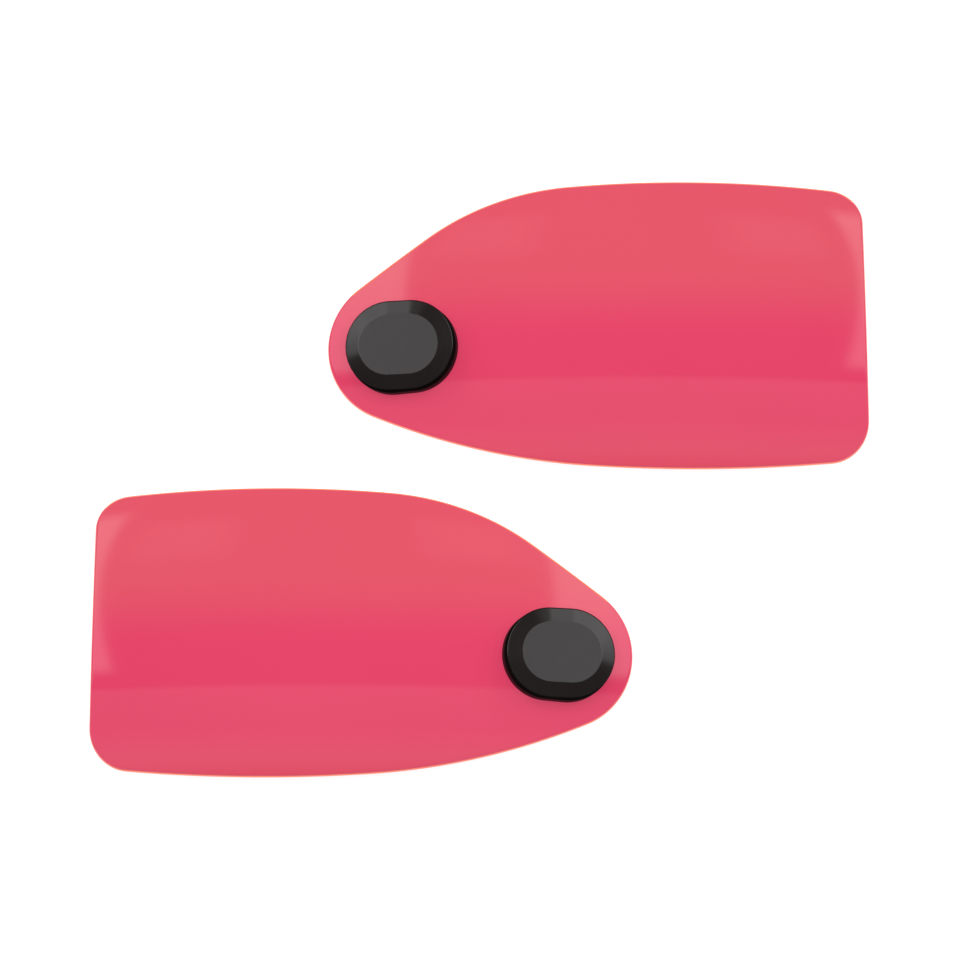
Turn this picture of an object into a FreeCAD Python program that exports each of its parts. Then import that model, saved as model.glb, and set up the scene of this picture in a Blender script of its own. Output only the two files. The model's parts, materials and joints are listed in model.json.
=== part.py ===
import FreeCAD, Part
import math
import os
import re
import Sketcher
from FreeCAD import Placement, Rotation, Vector

# A pair of guards, one for each hand.  Each guard is a thin double-curved
# shield that carries a quarter-turn knob on its narrow end.
#
# Two frames are used:
#   guard frame  origin on the plan position of the boss, X towards the wide
#                end, Y towards the shoulder, Z up, Z = 0 on the crown
#   boss frame   origin on the outer skin under the knob, Z along the knob's
#                axis, outwards

DIMENSIONS = {
    # shield skin: a sheet bowed lengthwise and arched across
    "plate_thickness": 2.0,
    "bow_radius": 300.0,
    "arch_radius": 100.0,
    "crown_ahead": 64.63,
    "crown_up": 7.7,
    "rim_round": 0.6,
    # shield outline, measured from the boss
    "tip_radius": 20.8,
    "tip_ahead": -0.17,
    "tip_up": 1.1,
    "slope_angle": 36.7,
    "shoulder_radius": 76.0,
    "crest_radius": 466.0,
    "crest_ahead": 82.33,
    "crest_up": 48.2,
    "end_ahead": 128.32,
    "end_slant": 1.5,
    "corner_radius": 10.0,
    "low_corner_radius": 11.5,
    "belly_radius": 360.0,
    "belly_ahead": 76.33,
    "belly_down": 33.7,
    "flank_radius": 177.0,
    # how the two guards lie beside each other
    "boss_setback": 21.13,
    "pair_pitch": 87.5,
    # edges of the plates that face outwards
    "edge_round": 0.3,
    # seat under the knob
    "gasket_thickness": 0.6,
    "seat_half_length": 15.35,
    "seat_half_width": 12.55,
    "seat_top": 2.4,
    "sleeve_radius": 6.2,
    "sleeve_bottom": -2.6,
    "sleeve_play": 0.1,
    "post_radius": 2.0,
    "post_bottom": -1.9,
    "post_spacing": 10.0,
    "post_play": 0.1,
    "pilot_radius": 1.0,
    "pilot_top": 1.1,
    # quarter-turn stop: a lug on the knob in a groove in the seat
    "stop_radius": 10.9,
    "stop_width": 1.4,
    "stop_play": 0.2,
    "groove_floor": 1.2,
    "lug_bottom": 1.5,
    "lug_half_angle": 9.0,
    "turn_angle": 90.0,
    # knob
    "knob_bottom": 2.6,
    "knob_top": 7.0,
    "bevel_height": 1.5,
    "bevel_width": 4.05,
    "knob_wall": 2.1,
    "knob_roof": 5.0,
    "core_radius": 9.3,
    "core_bottom": 3.7,
    # hub: the metal socket that turns with the knob
    "hub_radius": 5.0,
    "hub_play": 0.05,
    "hub_bottom": -4.2,
    "hex_across_flats": 14.0,
    "hex_bottom": 3.6,
    "hex_top": 5.6,
    "socket_radius": 3.0,
    "lock_radius": 4.0,
    "lock_bottom": 2.0,
    "lock_top": 4.6,
    "slot_width": 1.8,
    # washers and ring on the hub
    "washer_inner": 5.3,
    "washer_outer": 8.0,
    "washer_thickness": 0.5,
    "spring_outer": 7.6,
    "spring_thickness": 0.4,
    "spring_rise": 0.2,
    "clip_outer": 6.9,
    "clip_inner": 4.5,
    "clip_thickness": 0.6,
    "clip_gap": 0.05,
    "clip_mouth": 5.0,
    # clamp plate and pad on the back of the shield
    "back_half_length": 13.5,
    "back_half_width": 10.5,
    "back_bottom": -3.8,
    "back_opening": 7.3,
    "pad_thickness": 0.8,
    # screws from the back plate into the seat posts
    "screw_radius": 0.95,
    "screw_hole": 1.15,
    "screw_top": 1.0,
    "head_radius": 1.8,
    "head_height": 0.9,
    "head_play": 0.1,
    "recess_width": 0.5,
    "recess_length": 2.0,
    "recess_depth": 0.5,
}

doc = FreeCAD.newDocument("guards")
sheet = doc.addObject("Spreadsheet::Sheet", "Dims")
for row, (alias, value) in enumerate(DIMENSIONS.items(), start=1):
    sheet.set("A%d" % row, alias)
    sheet.set("B%d" % row, str(value))
    sheet.setAlias("B%d" % row, alias)
doc.recompute()


def dim(alias):
    return float(sheet.get(alias))


def on_sheet(word):
    return "Dims." + word.group() if word.group() in DIMENSIONS else word.group()


def bind(obj, **expressions):
    """Bind properties to expressions in which an alias stands for its cell."""
    for name, expression in expressions.items():
        obj.setExpression(name, re.sub("[a-z_]+", on_sheet, expression))
    return obj


# ---- helpers that add one object each ----

START, END, CENTRE = 1, 2, 3        # which point of an edge a constraint holds

def cylinder(name, radius, low, high, x="0"):
    obj = doc.addObject("Part::Cylinder", name)
    bind(obj, Radius=radius, Height="%s - (%s)" % (high, low))
    bind(obj, **{"Placement.Base.x": x, "Placement.Base.z": low})
    return obj


def box(name, length, width, low, high, x="0", angle=0.0):
    """A box centred on the line at x, turned about it."""
    obj = doc.addObject("Part::Box", name)
    bind(obj, Length=length, Width=width, Height="%s - (%s)" % (high, low))
    doc.recompute()
    turn = Rotation(Vector(0, 0, 1), angle)
    corner = turn.multVec(Vector(-obj.Length.Value / 2, -obj.Width.Value / 2, 0))
    obj.Placement = Placement(corner, turn)
    bind(obj, **{"Placement.Base.x": "%s + (%.6f)" % (x, corner.x), "Placement.Base.z": low})
    return obj


def draw_obround(sketch, half_length, half_width):
    """A slot shape about the sketch's origin, long side along X."""
    reach, radius = 4.0, 8.0
    up = Vector(0, 0, 1)
    right, left = Vector(reach, 0, 0), Vector(-reach, 0, 0)
    sketch.addGeometry([
        Part.ArcOfCircle(Part.Circle(right, up, radius), -math.pi / 2, math.pi / 2),
        Part.LineSegment(Vector(reach, radius, 0), Vector(-reach, radius, 0)),
        Part.ArcOfCircle(Part.Circle(left, up, radius), math.pi / 2, 3 * math.pi / 2),
        Part.LineSegment(Vector(-reach, -radius, 0), Vector(reach, -radius, 0)),
    ])
    for first in range(4):
        second = (first + 1) % 4
        sketch.addConstraint(Sketcher.Constraint("Tangent", first, END, second, START))
    sketch.addConstraint(Sketcher.Constraint("Symmetric", 0, CENTRE, 2, CENTRE, -1, START))
    sketch.addConstraint(Sketcher.Constraint("PointOnObject", 0, CENTRE, -1))
    size = sketch.addConstraint(Sketcher.Constraint("Radius", 0, radius))
    span = sketch.addConstraint(Sketcher.Constraint("DistanceX", 2, CENTRE, 0, CENTRE, 2 * reach))
    bind(sketch, **{"Constraints[%d]" % size: half_width,
                    "Constraints[%d]" % span: "2 * (%s - (%s))" % (half_length, half_width)})


def obround(name, half_length, half_width, low, high):
    """A slot-shaped block between two heights."""
    sketch = doc.addObject("Sketcher::SketchObject", name + "_outline")
    bind(sketch, **{"Placement.Base.z": low})
    draw_obround(sketch, half_length, half_width)
    return extrude(name, sketch, "%s - (%s)" % (high, low))


def rounded_obround(name, half_length, half_width, low, high, side):
    """A slot-shaped block whose edges are rounded on its top or bottom face."""
    block = obround(name, half_length, half_width, low, high)
    doc.recompute()
    bounds = block.Shape.BoundBox
    level = bounds.ZMax if side == "top" else bounds.ZMin
    near = dim("edge_round") / 10
    return round_edges(name + "_rounded", block, dim("edge_round"),
                       lambda first, last: max(abs(first.z - level), abs(last.z - level)) < near)


def round_edges(name, base, radius, is_chosen):
    """Rounds the edges of base whose two ends pass is_chosen."""
    doc.recompute()
    chosen = []
    for number, edge in enumerate(base.Shape.Edges, start=1):
        first, last = [vertex.Point for vertex in edge.Vertexes]
        if is_chosen(first, last):
            chosen.append((number, radius, radius))
    obj = doc.addObject("Part::Fillet", name)
    obj.Base = base
    obj.Edges = chosen
    return obj


def extrude(name, sketch, length):
    obj = doc.addObject("Part::Extrusion", name)
    obj.Base = sketch
    obj.DirMode = "Normal"
    obj.Solid = True
    bind(obj, LengthFwd=length)
    return obj


def cut(name, base, *tools):
    obj = doc.addObject("Part::Cut", name)
    obj.Base = base
    obj.Tool = tools[0] if len(tools) == 1 else fuse(name + "_tools", *tools)
    return obj


def fuse(name, *shapes):
    obj = doc.addObject("Part::MultiFuse", name)
    obj.Shapes = list(shapes)
    return obj


def common(name, first, second):
    obj = doc.addObject("Part::MultiCommon", name)
    obj.Shapes = [first, second]
    return obj


# ---- shield outline: a closed chain of tangent arcs and two straight runs ----

def direction(angle):
    return Vector(math.cos(angle), math.sin(angle), 0)


def centre_beside_line(normal, offset, other, distance, side):
    """The point at `offset` along the line's normal and at `distance` from `other`."""
    across = other + normal * (offset - other.dot(normal))
    reach = math.sqrt(distance ** 2 - (across - other).Length ** 2)
    along = Vector(0, 0, 1).cross(normal)
    return across + along * (reach * side)


def centre_in_corner(first, first_distance, second, second_distance):
    """The point at two distances from two centres, on the far side along X."""
    span = (second - first).Length
    along = (first_distance ** 2 - second_distance ** 2 + span ** 2) / (2 * span)
    heading = (second - first).normalize()
    aside = heading.cross(Vector(0, 0, 1))
    return first + heading * along + aside * math.sqrt(first_distance ** 2 - along ** 2)


def touch(outer_centre, radius, inner_centre):
    """Where a circle touches a smaller one that lies inside it."""
    return outer_centre + (inner_centre - outer_centre).normalize() * radius


def outline_chain():
    """Centres and joints of the outline, clockwise from the tip's upper side."""
    slope = math.radians(dim("slope_angle"))
    slant = math.radians(dim("end_slant"))
    tip = Vector(dim("tip_ahead"), dim("tip_up"), 0)
    tip_r, shoulder_r, crest_r = dim("tip_radius"), dim("shoulder_radius"), dim("crest_radius")
    corner_r, low_corner_r = dim("corner_radius"), dim("low_corner_radius")
    belly_r, flank_r = dim("belly_radius"), dim("flank_radius")
    crest = Vector(dim("crest_ahead"), dim("crest_up") - crest_r, 0)
    belly = Vector(dim("belly_ahead"), belly_r - dim("belly_down"), 0)

    # the slope runs along the tip and the shoulder alike
    slope_normal = direction(slope + math.pi / 2)
    slope_offset = tip.dot(slope_normal) + tip_r
    shoulder = centre_beside_line(slope_normal, slope_offset - shoulder_r,
                                  crest, crest_r - shoulder_r, -1)

    # the flank leads from the belly round to the tip
    flank = centre_in_corner(tip, flank_r - tip_r, belly, belly_r - flank_r)

    # corners between the slanted end and the two long arcs
    end_normal = direction(slant)
    end_offset = dim("end_ahead") * end_normal.x
    top_corner = centre_beside_line(end_normal, end_offset - corner_r, crest, crest_r - corner_r, 1)
    low_corner = centre_beside_line(end_normal, end_offset - low_corner_r,
                                    belly, belly_r - low_corner_r, -1)

    slope_start = tip + slope_normal * tip_r
    slope_end = shoulder + slope_normal * shoulder_r
    shoulder_end = touch(crest, crest_r, shoulder)
    crest_end = touch(crest, crest_r, top_corner)
    end_start = top_corner + end_normal * corner_r
    end_end = low_corner + end_normal * low_corner_r
    belly_start = touch(belly, belly_r, low_corner)
    belly_end = touch(belly, belly_r, flank)
    flank_end = touch(flank, flank_r, tip)
    return [
        (None, slope_start, slope_end, None),
        (shoulder, slope_end, shoulder_end, "shoulder_radius"),
        (crest, shoulder_end, crest_end, "crest_radius"),
        (top_corner, crest_end, end_start, "corner_radius"),
        (None, end_start, end_end, None),
        (low_corner, end_end, belly_start, "low_corner_radius"),
        (belly, belly_start, belly_end, "belly_radius"),
        (flank, belly_end, flank_end, "flank_radius"),
        (tip, flank_end, slope_start, "tip_radius"),
    ]


def outline_sketch():
    sketch = doc.addObject("Sketcher::SketchObject", "shield_outline")
    up = Vector(0, 0, 1)
    chain = outline_chain()
    for centre, first, last, radius in chain:
        if centre is None:
            sketch.addGeometry(Part.LineSegment(first, last))
            continue
        # the chain runs clockwise and an arc counter-clockwise, so ends swap
        low, high = [math.atan2(p.y - centre.y, p.x - centre.x) for p in (last, first)]
        if high < low:
            high += 2 * math.pi
        circle = Part.Circle(centre, up, (first - centre).Length)
        sketch.addGeometry(Part.ArcOfCircle(circle, low, high))
    for number, (centre, first, last, radius) in enumerate(chain):
        following = (number + 1) % len(chain)
        leaves = START if centre is not None else END
        enters = END if chain[following][0] is not None else START
        sketch.addConstraint(Sketcher.Constraint("Tangent", number, leaves, following, enters))
        if radius is not None:
            size = sketch.addConstraint(Sketcher.Constraint("Radius", number, (first - centre).Length))
            bind(sketch, **{"Constraints[%d]" % size: radius})
    return sketch


# ---- shield ----

def skin(name, radius_expression, centre):
    """A torus whose outer equator is the shield's skin, bowed along X."""
    obj = doc.addObject("Part::Torus", name)
    bind(obj, Radius1="bow_radius - arch_radius", Radius2=radius_expression)
    obj.Placement = centre
    return obj


AXIS_ACROSS = Rotation(Vector(1, 0, 0), 90)
bow_centre = Placement(Vector(dim("crown_ahead"), dim("crown_up"), -dim("bow_radius")), AXIS_ACROSS)

# the boss frame stands on the skin over the guard frame's origin
lean_across = math.asin(dim("crown_up") / dim("arch_radius"))
tube_reach = dim("bow_radius") - dim("arch_radius") * (1 - math.cos(lean_across))
lean_along = math.asin(dim("crown_ahead") / tube_reach)
boss_rotation = (Rotation(Vector(0, 1, 0), -math.degrees(lean_along))
                 * Rotation(Vector(1, 0, 0), math.degrees(lean_across)))
boss_height = tube_reach * math.cos(lean_along) - dim("bow_radius")
boss = Placement(Vector(0, 0, boss_height), boss_rotation)
bow_centre_from_boss = boss.inverse() * bow_centre

OUTER_SKIN = "arch_radius"
INNER_SKIN = "arch_radius - plate_thickness"
GASKET_SKIN = "arch_radius + gasket_thickness"


def make_shield():
    below = 25.0
    sheet_bow = cut("bowed_sheet", skin("outer_skin", OUTER_SKIN, bow_centre),
                    skin("inner_skin", INNER_SKIN, bow_centre))
    blank = extrude("outline_block", outline_sketch(), "%g" % (2 * below))
    blank.Base.Placement = Placement(Vector(0, 0, -below), Rotation())
    plate = common("plate", blank, sheet_bow)
    drill = fuse("shield_drill",
                 cylinder("sleeve_hole", "sleeve_radius + sleeve_play", "sleeve_bottom * 2", "seat_top"),
                 *[cylinder("post_hole_" + end, "post_radius + post_play", "sleeve_bottom * 2",
                            "seat_top", x=x) for end, x in POSTS])
    drill.Placement = boss
    return cut("right_shield", rounded_rim(plate), drill)


def rounded_rim(plate):
    """Rounds both long edges of the rim; the short upright ones across it stay."""
    near = dim("rim_round") / 10
    return round_edges("rounded_plate", plate, dim("rim_round"),
                       lambda first, last: math.hypot(last.x - first.x, last.y - first.y) > near)


POSTS = (("fore", "post_spacing"), ("aft", "-post_spacing"))


# ---- boss pieces, all in the boss frame ----

def make_gasket():
    low, high = "sleeve_bottom", "seat_top"
    drilled = cut("gasket_drilled",
                  obround("gasket_block", "seat_half_length", "seat_half_width", low, high),
                  cylinder("gasket_sleeve_hole", "sleeve_radius + sleeve_play", low, high),
                  *[cylinder("gasket_post_hole_" + end, "post_radius + post_play", low, high, x=x)
                    for end, x in POSTS])
    above_skin = cut("gasket_above_skin", drilled,
                     skin("gasket_underside", OUTER_SKIN, bow_centre_from_boss))
    return common("right_seat_gasket", above_skin,
                  skin("gasket_topside", GASKET_SKIN, bow_centre_from_boss))


def stop_band(name, centre_angle, half_angle, play, low, high):
    """A piece of the stop's ring, half_angle to both sides of centre_angle."""
    disc = cylinder(name + "_disc", "stop_radius + stop_width / 2 + %s" % play, low, high)
    disc.Angle = 2 * half_angle
    disc.Placement.Rotation = Rotation(Vector(0, 0, 1), centre_angle - half_angle)
    hole = cylinder(name + "_hole", "stop_radius - stop_width / 2 - %s" % play, low, high)
    return cut(name, disc, hole)


# the lug travels half of the turn to each side of the knob's short axis
lug_rest_angle = 90 - dim("turn_angle") / 2
groove_half_angle = (dim("turn_angle") / 2 + dim("lug_half_angle")
                     + math.degrees(dim("stop_play") / dim("stop_radius")))


def make_seat():
    saddle = cut("seat_saddle",
                 rounded_obround("seat_block", "seat_half_length", "seat_half_width",
                                 "sleeve_bottom", "seat_top", "top"),
                 skin("seat_underside", GASKET_SKIN, bow_centre_from_boss))
    solid = fuse("seat_solid", saddle,
                 cylinder("sleeve", "sleeve_radius", "sleeve_bottom", "seat_top"),
                 *[cylinder("post_" + end, "post_radius", "post_bottom", "groove_floor", x=x)
                   for end, x in POSTS])
    groove = stop_band("stop_groove", 90, groove_half_angle, "stop_play", "groove_floor", "knob_bottom")
    return cut("right_seat", solid, groove,
               cylinder("bearing", "hub_radius + hub_play", "hub_bottom", "knob_bottom"),
               *[cylinder("pilot_" + end, "pilot_radius", "hub_bottom", "pilot_top", x=x)
                 for end, x in POSTS])


def make_knob():
    body = doc.addObject("PartDesign::Body", "knob_block")
    base_plane = [f for f in body.Origin.OriginFeatures if f.Role == "XY_Plane"][0]
    sketch = body.newObject("Sketcher::SketchObject", "knob_outline")
    sketch.AttachmentSupport = [(base_plane, "")]
    sketch.MapMode = "FlatFace"
    bind(sketch, **{"AttachmentOffset.Base.z": "knob_bottom"})
    draw_obround(sketch, "seat_half_length", "seat_half_width")
    pad = body.newObject("PartDesign::Pad", "knob_pad")
    pad.Profile = sketch
    bind(pad, Length="knob_top - knob_bottom")
    doc.recompute()
    faces = pad.Shape.Faces
    top = max(range(len(faces)), key=lambda index: faces[index].CenterOfMass.z)
    bevel = body.newObject("PartDesign::Chamfer", "knob_bevel")
    bevel.Base = (pad, ["Face%d" % (top + 1)])
    bevel.ChamferType = "Two distances"
    bind(bevel, Size="bevel_height", Size2="bevel_width")

    room = cut("knob_room",
               obround("knob_cavity", "seat_half_length - knob_wall", "seat_half_width - knob_wall",
                       "knob_bottom", "knob_roof"),
               cylinder("knob_core", "core_radius", "core_bottom", "knob_roof"))
    shell = cut("knob_shell", body, room)
    lug = stop_band("stop_lug", lug_rest_angle, dim("lug_half_angle"), "0", "lug_bottom", "knob_roof")
    pocket = hexagon("hex_pocket", "hex_across_flats + 2 * hub_play", "core_bottom", "hex_top + hub_play")
    relief = cylinder("shaft_relief", "washer_outer + hub_play", "knob_bottom", "hex_bottom")
    return cut("right_knob", fuse("knob_with_lug", shell, lug), pocket, relief)


def hexagon(name, across_flats, low, high):
    obj = doc.addObject("Part::Prism", name)
    obj.Polygon = 6
    bind(obj, Circumradius="(%s) / sqrt(3)" % across_flats, Height="%s - (%s)" % (high, low))
    bind(obj, **{"Placement.Base.z": low})
    return obj


def make_hub():
    solid = fuse("hub_solid",
                 hexagon("hub_head", "hex_across_flats", "hex_bottom", "hex_top"),
                 cylinder("hub_shaft", "hub_radius", "hub_bottom", "hex_bottom"))
    clip_groove = cut("clip_groove",
                      cylinder("clip_groove_outer", "washer_outer", CLIP_BOTTOM, CLIP_TOP),
                      cylinder("clip_groove_floor", "clip_inner", CLIP_BOTTOM, CLIP_TOP))
    return cut("right_hub", solid, clip_groove,
               cylinder("socket", "socket_radius", "hub_bottom", "lock_bottom"),
               box("slot", "2 * lock_radius", "slot_width", "hub_bottom", "lock_bottom"),
               cylinder("lock_recess", "lock_radius", "lock_bottom", "lock_top"))


CLIP_TOP = "sleeve_bottom - clip_gap"
CLIP_BOTTOM = "sleeve_bottom - clip_gap - clip_thickness"


def make_clip():
    """The retaining ring, open at one side."""
    ring = cut("clip_ring",
               cylinder("clip_disc", "clip_outer", CLIP_BOTTOM, CLIP_TOP),
               cylinder("clip_bore", "clip_inner", CLIP_BOTTOM, CLIP_TOP))
    mouth = box("clip_mouth_block", "clip_outer", "clip_mouth", CLIP_BOTTOM, CLIP_TOP, x="clip_outer")
    return cut("right_circlip", ring, mouth)


def make_thrust_washer():
    top = "seat_top + washer_thickness"
    return cut("right_thrust_washer",
               cylinder("washer_disc", "washer_outer", "seat_top", top),
               cylinder("washer_bore", "washer_inner", "seat_top", top))


def make_spring_washer():
    """A disc spring: a thin cone that stands on its rim under the hub's head."""
    body = doc.addObject("PartDesign::Body", "right_spring_washer")
    plane = [f for f in body.Origin.OriginFeatures if f.Role == "XZ_Plane"][0]
    axis = [f for f in body.Origin.OriginFeatures if f.Role == "Z_Axis"][0]
    sketch = body.newObject("Sketcher::SketchObject", "spring_section")
    sketch.AttachmentSupport = [(plane, "")]
    sketch.MapMode = "FlatFace"
    inner, outer = dim("washer_inner"), dim("spring_outer")
    high = dim("hex_bottom")
    low = high - dim("spring_rise")
    thick = dim("spring_thickness")
    corners = [Vector(inner, high, 0), Vector(inner, high - thick, 0),
               Vector(outer, low - thick, 0), Vector(outer, low, 0)]
    for number, corner in enumerate(corners):
        sketch.addGeometry(Part.LineSegment(corner, corners[(number + 1) % 4]))
    for number in range(4):
        sketch.addConstraint(Sketcher.Constraint("Coincident", number, END, (number + 1) % 4, START))
    for number in (0, 2):
        sketch.addConstraint(Sketcher.Constraint("Vertical", number))
    spots = ((0, START, "DistanceX", "washer_inner"), (0, START, "DistanceY", "hex_bottom"),
             (0, END, "DistanceY", "hex_bottom - spring_thickness"),
             (2, END, "DistanceX", "spring_outer"), (2, END, "DistanceY", "hex_bottom - spring_rise"),
             (2, START, "DistanceY", "hex_bottom - spring_rise - spring_thickness"))
    for edge, end, kind, expression in spots:
        point = corners[(edge + (end == END)) % 4]
        value = point.x if kind == "DistanceX" else point.y
        index = sketch.addConstraint(Sketcher.Constraint(kind, -1, START, edge, end, value))
        bind(sketch, **{"Constraints[%d]" % index: expression})
    turn = body.newObject("PartDesign::Revolution", "spring_turn")
    turn.Profile = sketch
    turn.ReferenceAxis = (axis, [""])
    turn.Angle = 360
    return body


def make_back_plate():
    low, high = "back_bottom", "0"
    openings = [cylinder("back_opening_hole", "back_opening", low, high)]
    for end, x in POSTS:
        openings.append(cylinder("screw_hole_" + end, "screw_hole", low, high, x=x))
        openings.append(cylinder("counterbore_" + end, "head_radius + head_play", low,
                                 "back_bottom + head_height", x=x))
    drilled = cut("back_drilled",
                  rounded_obround("back_block", "back_half_length", "back_half_width",
                                  low, high, "bottom"),
                  *openings)
    return common("right_back_plate", drilled,
                  skin("back_topside", INNER_SKIN, bow_centre_from_boss))


def make_back_pad():
    low = "back_bottom - pad_thickness"
    blank = rounded_obround("pad_block", "back_half_length", "back_half_width",
                            low, "back_bottom", "bottom")
    return cut("right_back_pad", blank,
               cylinder("pad_opening", "back_opening", low, "back_bottom"),
               *[cylinder("pad_screw_hole_" + end, "head_radius + head_play", low, "back_bottom", x=x)
                 for end, x in POSTS])


def make_screws():
    screws = []
    for end, x in POSTS:
        solid = fuse("screw_solid_" + end,
                     cylinder("screw_head_" + end, "head_radius", "back_bottom",
                              "back_bottom + head_height", x=x),
                     cylinder("screw_shank_" + end, "screw_radius", "back_bottom", "screw_top", x=x))
        arms = [box("recess_%s_%d" % (end, angle), "recess_length", "recess_width", "back_bottom",
                    "back_bottom + recess_depth", x=x, angle=angle) for angle in (45, 135)]
        screws.append(cut("screw_" + end, solid, *arms))
    group = doc.addObject("Part::Compound", "right_screws")
    group.Links = screws
    return group


# ---- the pair: right pieces placed, left pieces their mirror image ----

shield = make_shield()
boss_pieces = [make() for make in (make_gasket, make_seat, make_knob, make_hub, make_thrust_washer,
                                   make_spring_washer, make_clip, make_back_plate, make_back_pad,
                                   make_screws)]
doc.recompute()

rest_height = -shield.Shape.optimalBoundingBox(False).ZMin
middle = (dim("pair_pitch") - dim("crest_up") + dim("belly_down")) / 2
guard = Placement(Vector(-dim("boss_setback"), middle, rest_height), Rotation())
shield.Placement = guard
for piece in boss_pieces:
    piece.Placement = guard * boss

nodes = [shield] + boss_pieces
for piece in list(nodes):
    piece.Label = piece.Name
    twin = doc.addObject("Part::Mirroring", piece.Name.replace("right_", "left_"))
    twin.Source = piece
    twin.Normal = Vector(1, 0, 0)
    twin.Placement = Placement(Vector(0, -dim("pair_pitch"), 0), Rotation())
    twin.Label = twin.Name
    nodes.append(twin)
doc.recompute()

for obj in doc.Objects:
    if "Invalid" in obj.State or "Error" in obj.State:
        raise RuntimeError("%s did not compute" % obj.Name)

os.makedirs("parts", exist_ok=True)
for node in nodes:
    if node.Shape.isNull() or not node.Shape.isValid():
        raise RuntimeError("%s has no valid shape" % node.Label)
    node.Shape.exportStep("parts/%s.step" % node.Label)
    print(node.Label, len(node.Shape.Solids), round(node.Shape.Volume, 1), node.Shape.optimalBoundingBox(False))
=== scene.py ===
import json
import math

import bpy
from mathutils import Matrix, Vector
from mathutils.geometry import delaunay_2d_cdt


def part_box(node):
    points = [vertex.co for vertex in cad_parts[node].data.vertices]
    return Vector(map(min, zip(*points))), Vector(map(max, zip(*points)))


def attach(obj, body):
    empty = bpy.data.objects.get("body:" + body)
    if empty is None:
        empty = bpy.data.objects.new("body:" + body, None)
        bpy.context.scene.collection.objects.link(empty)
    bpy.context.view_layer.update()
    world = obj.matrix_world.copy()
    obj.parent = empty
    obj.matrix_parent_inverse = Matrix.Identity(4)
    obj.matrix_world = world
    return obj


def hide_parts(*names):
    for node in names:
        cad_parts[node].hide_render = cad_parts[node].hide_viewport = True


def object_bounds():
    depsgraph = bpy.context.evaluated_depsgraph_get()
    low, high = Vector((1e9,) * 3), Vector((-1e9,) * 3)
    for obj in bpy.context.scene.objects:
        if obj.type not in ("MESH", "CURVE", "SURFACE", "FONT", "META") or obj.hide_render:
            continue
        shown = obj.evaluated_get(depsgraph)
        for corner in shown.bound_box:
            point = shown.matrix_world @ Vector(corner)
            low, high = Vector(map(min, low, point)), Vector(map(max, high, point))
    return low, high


# A left and a right guard lie head to tail on a pale floor.  Each is a thin,
# double-curved pink shield with a black knob on its narrow end.  Shapes are
# drawn for the right guard in millimetres and mirrored for the left one.

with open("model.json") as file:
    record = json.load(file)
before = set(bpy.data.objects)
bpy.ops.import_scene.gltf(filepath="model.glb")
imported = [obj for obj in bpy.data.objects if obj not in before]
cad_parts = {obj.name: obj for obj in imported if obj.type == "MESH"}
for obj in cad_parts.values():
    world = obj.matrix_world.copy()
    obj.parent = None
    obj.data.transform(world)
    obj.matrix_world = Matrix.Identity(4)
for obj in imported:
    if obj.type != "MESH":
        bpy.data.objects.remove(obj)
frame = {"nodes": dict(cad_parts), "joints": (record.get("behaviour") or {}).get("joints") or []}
cad_low, cad_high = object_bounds()
scene = bpy.context.scene
MM = 0.001

# ---- driving dimensions in millimetres, the CAD model's own ----

PLATE_THICKNESS = 2.0
BOW_RADIUS, ARCH_RADIUS = 300.0, 100.0      # lengthwise and across, outer skin
CROWN_AHEAD, CROWN_UP = 64.63, 7.7          # from the boss to the skin's highest point

TIP_RADIUS, TIP_AHEAD, TIP_UP = 20.8, -0.17, 1.1
SLOPE_ANGLE, SHOULDER_RADIUS = math.radians(36.7), 76.0
CREST_RADIUS, CREST_AHEAD, CREST_UP = 466.0, 82.33, 48.2
END_AHEAD, END_SLANT = 128.32, math.radians(1.5)
CORNER_RADIUS, LOW_CORNER_RADIUS = 10.0, 11.5
BELLY_RADIUS, BELLY_AHEAD, BELLY_DOWN = 360.0, 76.33, 33.7
FLANK_RADIUS = 177.0

SLEEVE_HOLE, POST_HOLE, POST_SPACING = 6.3, 2.1, 10.0

BASE_HALF_LENGTH, BASE_HALF_WIDTH = 15.35, 12.55
KNOB_BOTTOM, KNOB_TOP = 2.6, 7.0
BEVEL_HEIGHT, BEVEL_WIDTH = 1.5, 4.05
KNOB_WALL, KNOB_ROOM_TOP = 2.1, 5.65

# finer than the CAD
RIM_ROUND = 0.75
# the cut edge gets a painted orange glow from this lean of its rounding on, and from less along the high
# edge
RIM_PAINTED_GLOW_LEAN, CREST_PAINTED_GLOW_LEAN = math.radians(50), math.radians(22)
HIGH_EDGE_FACING = 0.7                      # the outline faces the high edge where it points so far along Y
FOOT_ROUND, WALL_TOP_ROUND, FACE_ROUND = 0.3, 0.6, 0.9
FACE_MARGIN = 2.0                           # of the knob's flat face, drawn before its middle is filled
GLOSS_FROM_NORMAL = 0.85                    # the knob's glossy top starts where its normal rises so far; below it the wall gets painted shade
OUTLINE_STEP, SKIN_STEP = 1.1, 2.6
RIM_CLEARANCE, HOLE_CLEARANCE = 0.6 * SKIN_STEP, 0.5 * SKIN_STEP    # of the net's own points

AIM_HEIGHT = 0.0034        # in metres: what the camera looks at lies this far over the floor

# the sheet's crimson, and the coral painted in as light where the sheet falls away to its long edges
CRIMSON, CORAL_PAINTED_LIGHT = (0.33, 0.0243, 0.0588), (0.325, 0.039, 0.0592)
SHEET_PAINTED_GLOW = 1.34           # painted glow: emission as a share of the sheet's own colour, partly its fluorescence, partly lifting away the knob's shadow
# painted light across the sheet, from the low long edge to the high one: place, share of painted coral,
# painted highlight white mixed in
SHEET_PAINTED_LIGHT_BANDS = ((0.0, 0.7, 0.0), (0.06, 0.45, 0.008), (0.17, 0.0, 0.009), (0.283, 0.0, 0.009),
               (0.304, 0.0, 0.0), (0.42, 0.0, 0.0), (0.68, 1.0, 0.0))


# ---- frames: guard and boss frames in millimetres, and the mirror twin ----

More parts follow.
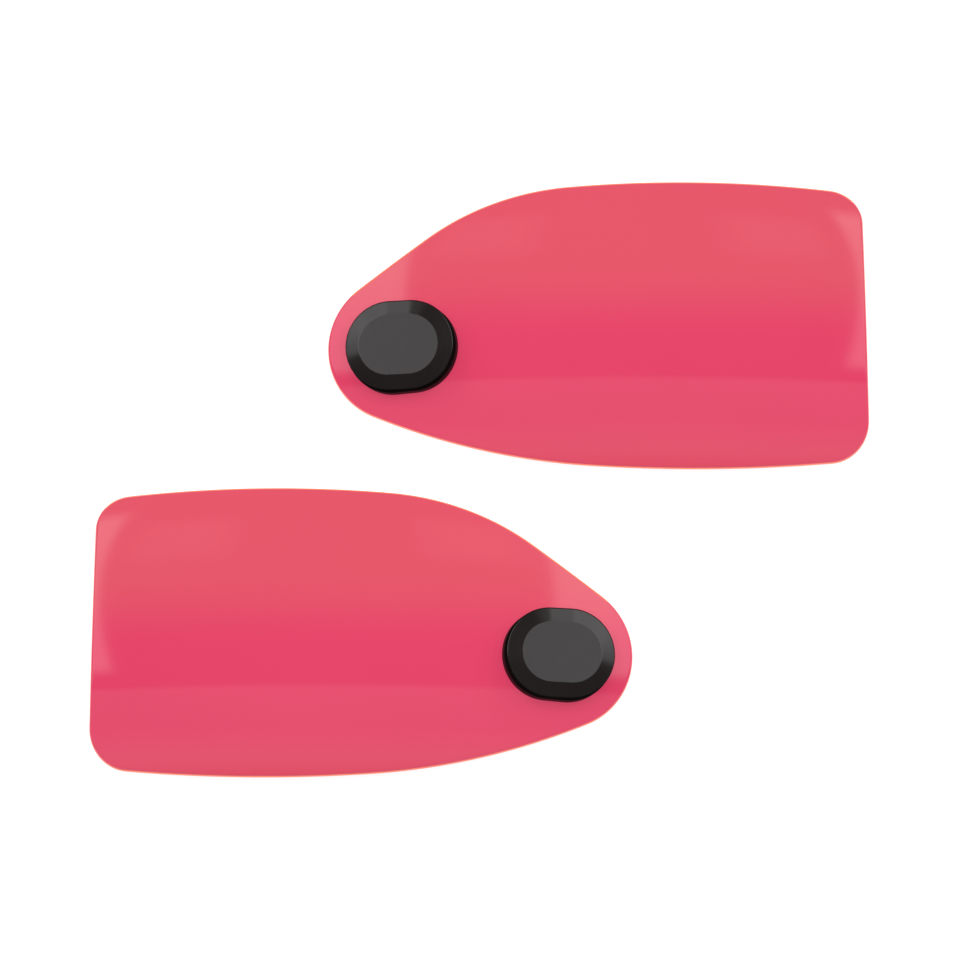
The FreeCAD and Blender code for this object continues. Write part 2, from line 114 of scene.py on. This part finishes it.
def place_in_metres(origin, columns):
    turn = Matrix(columns).transposed().to_4x4()
    return Matrix.Translation(origin) @ turn @ Matrix.Scale(MM, 4)


shield_low, shield_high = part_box("right_shield")
boss_plan = Vector((shield_low.x + (TIP_RADIUS - TIP_AHEAD) * MM, shield_high.y - CREST_UP * MM))
GUARD = place_in_metres((boss_plan.x, boss_plan.y, shield_high.z), Matrix.Identity(3))

knob_turn = next(joint for joint in frame["joints"] if joint["name"] == "right_knob_turn")
knob_axis = Vector(knob_turn["axis"]).normalized()
boss_along = Vector((0, 1, 0)).cross(knob_axis).normalized()
BOSS = place_in_metres(knob_turn["pos_m"], (boss_along, knob_axis.cross(boss_along), knob_axis))
BOSS_IN_GUARD = GUARD.inverted() @ BOSS

twin_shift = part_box("left_shield")[0].y - shield_low.y
SIDES = {
    "right": Matrix.Identity(4),
    "left": Matrix.Translation((0, twin_shift, 0)) @ Matrix.Scale(-1, 4, (1, 0, 0)),
}


# ---- a mesh in the making ----

class Surface:
    """Points and faces, with a normal of its own for every corner of a face."""

    def __init__(self):
        self.points = []
        self.faces = []
        self.normals = []
        self.looks = []

    def add(self, points):
        """Adds points and returns their numbers."""
        first = len(self.points)
        self.points.extend(points)
        return list(range(first, len(self.points)))

    def face(self, corners, normals, look=0):
        self.faces.append(list(corners))
        self.normals.append(list(normals))
        self.looks.append(look)

    def band(self, ring, normals, other_ring, other_normals, look=0):
        """A closed band of quads between two rings; look is one number or a list of them."""
        looks = look if isinstance(look, list) else [look] * len(ring)
        for here in range(len(ring)):
            after = (here + 1) % len(ring)
            self.face((ring[here], ring[after], other_ring[after], other_ring[here]),
                      (normals[here], normals[after], other_normals[after], other_normals[here]),
                      looks[here])

    def build(self, name, matrix, materials):
        """Makes the object; faces are wound to agree with their normals."""
        points = [matrix @ point for point in self.points]
        turn = matrix.to_3x3()
        faces, corner_normals = [], []
        for corners, given in zip(self.faces, self.normals):
            normals = [(turn @ normal).normalized() for normal in given]
            if area_vector([points[corner] for corner in corners]).dot(sum(normals, Vector())) < 0:
                corners, normals = corners[::-1], normals[::-1]
            faces.append(corners)
            corner_normals.extend(normals)
        mesh = bpy.data.meshes.new(name)
        mesh.from_pydata(points, [], faces)
        for material in materials:
            mesh.materials.append(material)
        mesh.polygons.foreach_set("use_smooth", [True] * len(faces))
        mesh.polygons.foreach_set("material_index", self.looks)
        mesh.normals_split_custom_set(corner_normals)
        piece = bpy.data.objects.new(name, mesh)
        scene.collection.objects.link(piece)
        return piece


def area_vector(corners):
    total = Vector((0, 0, 0))
    for here, after in zip(corners, corners[1:] + corners[:1]):
        total += (here - corners[0]).cross(after - corners[0])
    return total


# ---- the shield's skin and outline ----

def skin_point(plan, depth):
    """The point over or under a plan position, and the normal there, depth below the outer skin."""
    tube = ARCH_RADIUS - depth
    hub = BOW_RADIUS - ARCH_RADIUS
    along, across = plan.x - CROWN_AHEAD, plan.y - CROWN_UP
    tube_reach = math.sqrt(tube ** 2 - across ** 2)
    height = math.sqrt((hub + tube_reach) ** 2 - along ** 2)
    outward = tube_reach / (hub + tube_reach)
    normal = Vector((along * outward, across, height * outward)).normalized()
    return Vector((plan.x, plan.y, height - BOW_RADIUS)), normal


def skin_under_boss(x, y, depth):
    """Where a line along the boss axis meets the skin at this depth, in the guard frame."""
    centre = Vector((CROWN_AHEAD, CROWN_UP, -BOW_RADIUS))
    level = -depth
    for _ in range(6):
        arm = BOSS_IN_GUARD @ Vector((x, y, level)) - centre
        ring_distance = math.hypot(arm.x, arm.z) - (BOW_RADIUS - ARCH_RADIUS)
        level -= math.hypot(ring_distance, arm.y) - (ARCH_RADIUS - depth)
    return BOSS_IN_GUARD @ Vector((x, y, level))


def direction(angle):
    return Vector((math.cos(angle), math.sin(angle)))


def centre_beside_line(normal, offset, other, distance, side):
    """The point at `offset` along the line's normal and at `distance` from `other`."""
    across = other + normal * (offset - other.dot(normal))
    reach = math.sqrt(distance ** 2 - (across - other).length_squared)
    return across + Vector((-normal.y, normal.x)) * (reach * side)


def centre_in_corner(first, first_distance, second, second_distance):
    """The point at two distances from two centres, on the far side along X."""
    span = (second - first).length
    along = (first_distance ** 2 - second_distance ** 2 + span ** 2) / (2 * span)
    heading = (second - first) / span
    aside = Vector((heading.y, -heading.x))
    return first + heading * along + aside * math.sqrt(first_distance ** 2 - along ** 2)


def outline_arcs():
    """The outline's arcs clockwise from the tip: centre, radius, first and last angle."""
    tip = Vector((TIP_AHEAD, TIP_UP))
    crest = Vector((CREST_AHEAD, CREST_UP - CREST_RADIUS))
    belly = Vector((BELLY_AHEAD, BELLY_RADIUS - BELLY_DOWN))
    flank = centre_in_corner(tip, FLANK_RADIUS - TIP_RADIUS, belly, BELLY_RADIUS - FLANK_RADIUS)

    slope_normal = direction(SLOPE_ANGLE + math.pi / 2)
    shoulder = centre_beside_line(slope_normal, tip.dot(slope_normal) + TIP_RADIUS - SHOULDER_RADIUS,
                                  crest, CREST_RADIUS - SHOULDER_RADIUS, -1)
    end_normal = direction(END_SLANT)
    end_offset = END_AHEAD * end_normal.x
    top_corner = centre_beside_line(end_normal, end_offset - CORNER_RADIUS,
                                    crest, CREST_RADIUS - CORNER_RADIUS, 1)
    low_corner = centre_beside_line(end_normal, end_offset - LOW_CORNER_RADIUS,
                                    belly, BELLY_RADIUS - LOW_CORNER_RADIUS, -1)

    def heading(start, end):
        return math.atan2(end.y - start.y, end.x - start.x)

    slope_heading = SLOPE_ANGLE + math.pi / 2
    arcs = [
        (tip, TIP_RADIUS, heading(flank, tip), slope_heading),
        (shoulder, SHOULDER_RADIUS, slope_heading, heading(crest, shoulder)),
        (crest, CREST_RADIUS, heading(crest, shoulder), heading(crest, top_corner)),
        (top_corner, CORNER_RADIUS, heading(crest, top_corner), END_SLANT),
        (low_corner, LOW_CORNER_RADIUS, END_SLANT, heading(belly, low_corner)),
        (belly, BELLY_RADIUS, heading(belly, low_corner), heading(belly, flank)),
        (flank, FLANK_RADIUS, heading(belly, flank), heading(flank, tip)),
    ]
    return [(centre, radius, first, last - 2 * math.pi if last > first else last)
            for centre, radius, first, last in arcs]


def outline_samples():
    """Evenly spread samples of the outline: arc centre, outward direction and radius."""
    samples = []
    arcs = outline_arcs()
    for number, (centre, radius, first, last) in enumerate(arcs):
        steps = max(4, round(radius * (first - last) / OUTLINE_STEP))
        for step in range(steps + 1):
            samples.append((centre, direction(first + (last - first) * step / steps), radius))
        next_centre, next_radius = arcs[(number + 1) % len(arcs)][:2]
        outward = direction(last)
        next_start = next_centre + outward * next_radius
        run = next_start - (centre + outward * radius)
        if run.length < OUTLINE_STEP:
            samples.pop()           # the next arc starts here
            continue
        stretches = round(run.length / OUTLINE_STEP)
        for stretch in range(1, stretches):
            samples.append((centre + run * (stretch / stretches), outward, radius))
    return samples


OUTLINE = outline_samples()


def outline_ring(inset):
    return [centre + outward * (radius - inset) for centre, outward, radius in OUTLINE]


def shield_holes():
    """Place along X, radius and number of sides of the holes under the knob, in the boss frame."""
    return ((0, SLEEVE_HOLE, 48), (POST_SPACING, POST_HOLE, 24), (-POST_SPACING, POST_HOLE, 24))


def skin_faces(surface, boundary, boundary_points, hole_rings, depth, facing):
    """Fills one skin inside the rim with an even net of triangles.

    The net has no points of its own inside the hole rings, but its triangles span them: both skins
    are closed across the three holes, where the sheet itself is open.
    """
    plans = list(boundary)
    numbers = list(boundary_points)
    edges = [(here, (here + 1) % len(boundary)) for here in range(len(boundary))]
    for ring in hole_rings:
        first = len(plans)
        plans.extend(surface.points[number].to_2d() for number in ring)
        numbers.extend(ring)
        edges.extend((first + here, first + (here + 1) % len(ring)) for here in range(len(ring)))
    hole_circles = [((BOSS_IN_GUARD @ Vector((x, 0, -depth))).to_2d(), radius)
                    for x, radius, steps in shield_holes()]

    def is_free(plan):
        inside = all((plan - edge).dot(outward) < -RIM_CLEARANCE
                     for edge, (centre, outward, radius) in zip(boundary, OUTLINE))
        return inside and all((plan - middle).length > radius + HOLE_CLEARANCE
                              for middle, radius in hole_circles)

    row_height = SKIN_STEP * math.sqrt(3) / 2
    low = Vector((min(p.x for p in boundary), min(p.y for p in boundary)))
    high = Vector((max(p.x for p in boundary), max(p.y for p in boundary)))
    for row in range(int((high.y - low.y) / row_height) + 1):
        for column in range(int((high.x - low.x) / SKIN_STEP) + 2):
            plan = Vector((low.x + (column + 0.5 * (row % 2)) * SKIN_STEP, low.y + row * row_height))
            if is_free(plan):
                plans.append(plan)
                numbers.extend(surface.add([skin_point(plan, depth)[0]]))

    output_type, merging_distance = 4, 1e-6
    net = delaunay_2d_cdt(plans, edges, [], output_type, merging_distance)
    triangles, origins = net[2], net[3]
    for triangle in triangles:
        corners = [numbers[origins[corner][0]] for corner in triangle]
        normals = [skin_point(surface.points[corner].to_2d(), depth)[1] * facing for corner in corners]
        surface.face(corners, normals)


def shield_surface():
    surface = Surface()
    steps = 5
    profile = []                    # inset, depth and lean of the normal off the skin's
    for step in range(steps + 1):
        lean = math.pi / 2 * step / steps
        profile.append((RIM_ROUND * (1 - math.sin(lean)), RIM_ROUND * (1 - math.cos(lean)), lean))
    profile += [(inset, PLATE_THICKNESS - depth, math.pi - lean) for inset, depth, lean in profile[::-1]]

    rings, ring_normals = [], []
    for inset, depth, lean in profile:
        points, normals = [], []
        for plan, (centre, outward, radius) in zip(outline_ring(inset), OUTLINE):
            point, normal = skin_point(plan, depth)
            points.append(point)
            normals.append(normal * math.cos(lean) + outward.to_3d() * math.sin(lean))
        rings.append(surface.add(points))
        ring_normals.append(normals)
    for upper in range(len(rings) - 1):
        middle_lean = (profile[upper][2] + profile[upper + 1][2]) / 2
        steepness = min(middle_lean, math.pi - middle_lean)
        # faces steep enough on the rim take the painted-glow rim material
        looks = [int(steepness > (CREST_PAINTED_GLOW_LEAN if outward.y > HIGH_EDGE_FACING else RIM_PAINTED_GLOW_LEAN))
                 for centre, outward, radius in OUTLINE]
        surface.band(rings[upper], ring_normals[upper], rings[upper + 1], ring_normals[upper + 1], looks)

    hole_rings = {0: [], PLATE_THICKNESS: []}
    for x, radius, count in shield_holes():
        spokes = [direction(2 * math.pi * number / count) for number in range(count)]
        inward = [BOSS_IN_GUARD.to_3x3() @ -spoke.to_3d() for spoke in spokes]
        for depth, found in hole_rings.items():
            found.append(surface.add([skin_under_boss(x + radius * spoke.x, radius * spoke.y, depth)
                                      for spoke in spokes]))
        surface.band(hole_rings[0][-1], inward, hole_rings[PLATE_THICKNESS][-1], inward)

    skin_faces(surface, outline_ring(RIM_ROUND), rings[0], hole_rings[0], 0, 1)
    skin_faces(surface, outline_ring(RIM_ROUND), rings[-1], hole_rings[PLATE_THICKNESS],
               PLATE_THICKNESS, -1)
    return surface


# ---- the knob ----

def rounded_path(corners, steps=4):
    """A path of (out, up, radius) corners as points with normals; each corner is an arc."""
    made = []
    for number, (out, up, radius) in enumerate(corners):
        here = Vector((out, up))
        arrives = leaves = None
        if number > 0:
            arrives = (here - Vector(corners[number - 1][:2])).normalized()
        if number + 1 < len(corners):
            leaves = (Vector(corners[number + 1][:2]) - here).normalized()
        if arrives is None or leaves is None:
            run = leaves or arrives
            made.append((here, Vector((run.y, -run.x))))
            continue
        turn = arrives.angle_signed(leaves)
        cut_back = radius * math.tan(abs(turn) / 2)
        start = here - arrives * cut_back
        side = 1 if turn < 0 else -1        # the arc's centre lies to this side of the path
        centre = start + Vector((-arrives.y, arrives.x)) * (radius * side)
        for step in range(steps + 1):
            normal = Vector((arrives.y, -arrives.x))
            normal.rotate(Matrix.Rotation(-turn * step / steps, 2))
            made.append((centre + normal * (radius * side), normal))
    return made


def obround_samples(arc_steps=40):
    """Side of the arc centre and outward direction, anticlockwise round a slot shape."""
    return [(side, direction(first + math.pi * step / arc_steps))
            for side, first in ((1, -math.pi / 2), (-1, math.pi / 2))
            for step in range(arc_steps + 1)]


def knob_surface():
    surface = Surface()
    core = BASE_HALF_LENGTH - BASE_HALF_WIDTH       # from the middle to each end's centre
    wall_top = KNOB_TOP - BEVEL_HEIGHT
    path = rounded_path([
        (-KNOB_WALL, KNOB_ROOM_TOP, 0),
        (-KNOB_WALL, KNOB_BOTTOM, FOOT_ROUND),
        (0, KNOB_BOTTOM, FOOT_ROUND),
        (0, wall_top, WALL_TOP_ROUND),
        (-BEVEL_WIDTH, KNOB_TOP, FACE_ROUND),
        (-BEVEL_WIDTH - FACE_MARGIN, KNOB_TOP, 0),
    ])
    around = obround_samples()
    rings, ring_normals = [], []
    for place, normal in path:
        rings.append(surface.add([
            Vector((side * core, 0, place.y)) + outward.to_3d() * (BASE_HALF_WIDTH + place.x)
            for side, outward in around]))
        ring_normals.append([outward.to_3d() * normal.x + Vector((0, 0, normal.y))
                             for side, outward in around])
    for lower in range(len(rings) - 1):
        # the walls take a darker copy of the knob black with no reflection: painted shade
        on_painted_shade_wall = path[lower + 1][1].y < GLOSS_FROM_NORMAL and path[lower][0].x > -BEVEL_WIDTH / 2
        surface.band(rings[lower], ring_normals[lower], rings[lower + 1], ring_normals[lower + 1],
                     look=int(on_painted_shade_wall))
    for ring, up in ((rings[0], -1), (rings[-1], 1)):
        surface.face(ring, [Vector((0, 0, up))] * len(ring))
    return surface


# ---- materials ----

def new_material(name, colour, roughness, **inputs):
    material = bpy.data.materials.new(name)
    material.use_nodes = True
    shader = material.node_tree.nodes["Principled BSDF"]
    shader.inputs["Base Color"].default_value = (*colour, 1)
    shader.inputs["Roughness"].default_value = roughness
    for label, value in inputs.items():
        shader.inputs[label.replace("_", " ")].default_value = value
    return material


def add_node(material, kind, **settings):
    node = material.node_tree.nodes.new(kind)
    for name, value in settings.items():
        if name in node.inputs:
            node.inputs[name].default_value = value
        else:
            setattr(node, name, value)
    return node


def join(material, source, output, target, entry):
    material.node_tree.links.new(source.outputs[output], target.inputs[entry])


def add_span(material, value, low, high):
    """A node that spreads the value over low to high."""
    span = add_node(material, "ShaderNodeMapRange")
    span.inputs["To Min"].default_value = low
    span.inputs["To Max"].default_value = high
    join(material, value, "Fac", span, "Value")
    return span


def mottle(material, colours, scale, roughness, bump=0.0, bump_scale=None):
    """Gives a material fine variation: two colours, a span of roughness and a bump."""
    shader = material.node_tree.nodes["Principled BSDF"]
    place = add_node(material, "ShaderNodeTexCoord")
    noise = add_node(material, "ShaderNodeTexNoise", Scale=scale, Detail=4.0)
    join(material, place, "Object", noise, "Vector")
    ramp = add_node(material, "ShaderNodeValToRGB")
    for stop, position, colour in zip(ramp.color_ramp.elements, (0.3, 0.7), colours):
        stop.position = position
        stop.color = (*colour, 1)
    join(material, noise, "Fac", ramp, "Fac")
    join(material, ramp, "Color", shader, "Base Color")
    join(material, add_span(material, noise, *roughness), "Result", shader, "Roughness")
    if bump:
        grain = add_node(material, "ShaderNodeTexNoise", Scale=bump_scale, Detail=3.0)
        join(material, place, "Object", grain, "Vector")
        relief = add_node(material, "ShaderNodeBump", Strength=bump, Distance=0.0001)
        join(material, grain, "Fac", relief, "Height")
        join(material, relief, "Normal", shader, "Normal")
    return material


def make_shield_pink():
    """Fluorescent pink sheet with painted light: crimson over the crown, coral painted in where it falls
    away to its long edges, and a faint painted highlight of white mixed in over its lower part.
    """
    material = new_material("shield_pink", CRIMSON, 0.07, IOR=1.5, Specular_IOR_Level=0.38,
                            Emission_Strength=SHEET_PAINTED_GLOW)
    shader = material.node_tree.nodes["Principled BSDF"]
    place = add_node(material, "ShaderNodeTexCoord")
    parts = add_node(material, "ShaderNodeSeparateXYZ")
    join(material, place, "Generated", parts, "Vector")
    # painted light ramp: coral and a white highlight band across the sheet by height
    across = add_node(material, "ShaderNodeValToRGB")
    across.color_ramp.interpolation = "EASE"
    stops = across.color_ramp.elements
    while len(stops) < len(SHEET_PAINTED_LIGHT_BANDS):
        stops.new(1)
    for stop, (position, painted_coral_share, painted_highlight_white) in zip(stops, SHEET_PAINTED_LIGHT_BANDS):
        stop.position = position
        stop.color = (*[low + (high - low) * painted_coral_share + painted_highlight_white for low, high in zip(CRIMSON, CORAL_PAINTED_LIGHT)], 1)
    join(material, parts, "Y", across, "Fac")
    cloud = add_node(material, "ShaderNodeTexNoise", Scale=14.0, Detail=3.0)
    join(material, place, "Object", cloud, "Vector")
    depth = add_span(material, cloud, 0.97, 1.03)
    painted_light_colour = add_node(material, "ShaderNodeVectorMath", operation="SCALE")
    join(material, across, "Color", painted_light_colour, "Vector")
    join(material, depth, "Result", painted_light_colour, "Scale")
    # the same painted-light colour also feeds the emission: painted glow
    for entry in ("Base Color", "Emission Color"):
        join(material, painted_light_colour, "Vector", shader, entry)
    join(material, add_span(material, cloud, 0.05, 0.1), "Result", shader, "Roughness")
    return material


def make_materials():
    looks = {"shield": make_shield_pink()}
    # the rim: orange emission, a painted glow of the cut edge
    looks["rim"] = mottle(
        new_material("shield_rim_painted_glow", (0.6, 0.11, 0.045), 0.2, IOR=1.5,
                     Emission_Color=(0.6, 0.11, 0.045, 1), Emission_Strength=0.9),
        ((0.58, 0.1, 0.042), (0.62, 0.12, 0.048)), 60, roughness=(0.15, 0.3))
    looks["knob"] = mottle(
        new_material("knob_black", (0.01, 0.009, 0.009), 0.2, IOR=1.5),
        ((0.012, 0.009, 0.0088), (0.015, 0.0118, 0.0115)), 90, roughness=(0.16, 0.22),
        bump=0.05, bump_scale=500)
    # the knob's walls: a darker, unreflecting copy of the knob black, painted shade
    looks["knob_side"] = mottle(
        new_material("knob_side_black", (0.008, 0.006, 0.006), 0.5, IOR=1.5, Specular_IOR_Level=0.0),
        ((0.006, 0.005, 0.005), (0.009, 0.007, 0.007)), 90, roughness=(0.45, 0.6),
        bump=0.1, bump_scale=1200)
    looks["seat"] = mottle(
        new_material("seat_black", (0.008, 0.006, 0.006), 0.5, Specular_IOR_Level=0.05),
        ((0.006, 0.005, 0.005), (0.01, 0.008, 0.008)), 120, roughness=(0.35, 0.5),
        bump=0.1, bump_scale=1200)
    looks["back"] = mottle(
        new_material("back_black", (0.03, 0.03, 0.03), 0.5),
        ((0.024, 0.024, 0.025), (0.036, 0.036, 0.038)), 150, roughness=(0.42, 0.6),
        bump=0.25, bump_scale=2600)
    looks["rubber"] = mottle(
        new_material("rubber", (0.02, 0.02, 0.02), 0.75),
        ((0.014, 0.014, 0.015), (0.028, 0.028, 0.029)), 200, roughness=(0.65, 0.85),
        bump=0.4, bump_scale=1800)
    looks["steel"] = mottle(
        new_material("steel", (0.6, 0.6, 0.6), 0.3, Metallic=1.0),
        ((0.54, 0.54, 0.53), (0.66, 0.66, 0.65)), 300, roughness=(0.22, 0.38),
        bump=0.1, bump_scale=4000)
    looks["spring_steel"] = mottle(
        new_material("spring_steel", (0.35, 0.36, 0.4), 0.3, Metallic=1.0),
        ((0.3, 0.31, 0.35), (0.42, 0.42, 0.44)), 250, roughness=(0.25, 0.4),
        bump=0.1, bump_scale=3000)
    looks["washer"] = mottle(
        new_material("washer_white", (0.8, 0.8, 0.77), 0.45),
        ((0.76, 0.76, 0.73), (0.84, 0.84, 0.81)), 200, roughness=(0.38, 0.5),
        bump=0.08, bump_scale=2500)
    return looks


NODE_LOOKS = {
    "seat": "seat", "seat_gasket": "rubber", "hub": "steel", "thrust_washer": "washer",
    "spring_washer": "spring_steel", "circlip": "spring_steel", "back_plate": "back",
    "back_pad": "rubber", "screws": "steel",
}


# ---- floor, lights and camera ----

def make_floor():
    reach, level = 2.0, -0.0002
    corners = [(x * reach, y * reach, level) for x, y in ((-1, -1), (1, -1), (1, 1), (-1, 1))]
    mesh = bpy.data.meshes.new("floor")
    mesh.from_pydata(corners, [], [(0, 1, 2, 3)])
    mesh.materials.append(new_material("floor_pale", (0.3, 0.3, 0.3), 0.9, Specular_IOR_Level=0.0,
                                       Emission_Color=(1, 1, 1, 1), Emission_Strength=0.9))
    mesh.materials[0].cycles.emission_sampling = "NONE"
    floor = bpy.data.objects.new("floor", mesh)
    scene.collection.objects.link(floor)


class Studio:
    """A dark room on the world sphere, hung with soft white panels.

    A direction's place is two angles off the vertical in degrees, sideways and back.
    """

    def __init__(self, darkness):
        world = bpy.data.worlds.new("studio")
        world.use_nodes = True
        scene.world = world
        self.nodes = world.node_tree.nodes
        self.nodes["Background"].inputs["Color"].default_value = (1, 1, 1, 1)
        self.links = world.node_tree.links
        place = self.nodes.new("ShaderNodeTexCoord")
        parts = self.nodes.new("ShaderNodeSeparateXYZ")
        self.links.new(place.outputs["Generated"], parts.inputs[0])
        self.sideways = self.math("ABSOLUTE", self.angle(parts.outputs["X"], parts.outputs["Z"]))
        self.back = self.angle(parts.outputs["Y"], parts.outputs["Z"])
        self.light = darkness

    def math(self, operation, *values):
        node = self.nodes.new("ShaderNodeMath")
        node.operation = operation
        for entry, value in zip(node.inputs, values):
            if isinstance(value, (int, float)):
                entry.default_value = value
            else:
                self.links.new(value, entry)
        return node.outputs[0]

    def angle(self, part, upward):
        return self.math("DEGREES", self.math("ARCTAN2", part, upward))

    def step(self, value, low, high):
        node = self.nodes.new("ShaderNodeMapRange")
        node.interpolation_type = "SMOOTHSTEP"
        self.links.new(value, node.inputs["Value"])
        node.inputs["From Min"].default_value = low
        node.inputs["From Max"].default_value = high
        return node.outputs["Result"]

    def panel(self, strength, sideways, back, slant=0.0):
        """Adds a panel on both sides; each span is (fades in from, full, full, faded out by)."""
        leant = self.math("MULTIPLY_ADD", self.back, slant, self.sideways)
        shape = strength
        for place, span in ((leant, sideways), (self.back, back)):
            shape = self.math("MULTIPLY", shape, self.step(place, span[0], span[1]))
            shape = self.math("MULTIPLY", shape, self.step(place, span[3], span[2]))
        self.light = self.math("ADD", self.light, shape)

    def hang(self):
        self.links.new(self.light, self.nodes["Background"].inputs["Strength"])


def light_scene(aim):
    studio = Studio(0.08)
    studio.panel(2.3, (22.6, 23.6, 55, 75), (-3, 2, 52, 58), slant=-0.1)
    studio.panel(0.4, (10, 15, 22, 27), (34, 40, 48, 52))
    studio.hang()
    lamp = bpy.data.lights.new("overhead", "AREA")
    lamp.shape, lamp.size, lamp.energy = "DISK", 1.2, 13
    overhead = bpy.data.objects.new("overhead", lamp)
    overhead.location = aim + Vector((0, 0, 1.4))
    overhead.visible_camera = False
    overhead.visible_glossy = False
    scene.collection.objects.link(overhead)


def add_camera(aim):
    elevation = math.radians(76)
    lens, sensor = 700, 36
    share_of_width = 0.8112         # how much of the picture's width the pair fills
    distance = (cad_high.x - cad_low.x) / share_of_width * lens / sensor
    camera = bpy.data.objects.new("camera", bpy.data.cameras.new("camera"))
    camera.data.lens, camera.data.sensor_width = lens, sensor
    away = Vector((0, -math.cos(elevation), math.sin(elevation)))
    camera.location = aim + away * distance
    camera.rotation_euler = away.to_track_quat("Z", "Y").to_euler()
    scene.collection.objects.link(camera)
    scene.camera = camera


# ---- the pair ----

looks = make_materials()
shield = shield_surface()
knob = knob_surface()
for side, mirror in SIDES.items():
    shown_shield = shield.build(side + "_shield_skin", mirror @ GUARD, (looks["shield"], looks["rim"]))
    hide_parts(side + "_shield")
    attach(shown_shield, side + "_guard")
    shown_knob = knob.build(side + "_knob_shell", mirror @ BOSS, (looks["knob"], looks["knob_side"]))
    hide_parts(side + "_knob")
    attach(shown_knob, side + "_knob_set")
    for node, look in NODE_LOOKS.items():
        for material_slot in frame["nodes"][side + "_" + node].material_slots:
            material_slot.material = looks[look]

middle = (cad_low + cad_high) / 2
middle.z = AIM_HEIGHT
make_floor()
light_scene(middle)
add_camera(middle)
scene.view_settings.view_transform = "Standard"
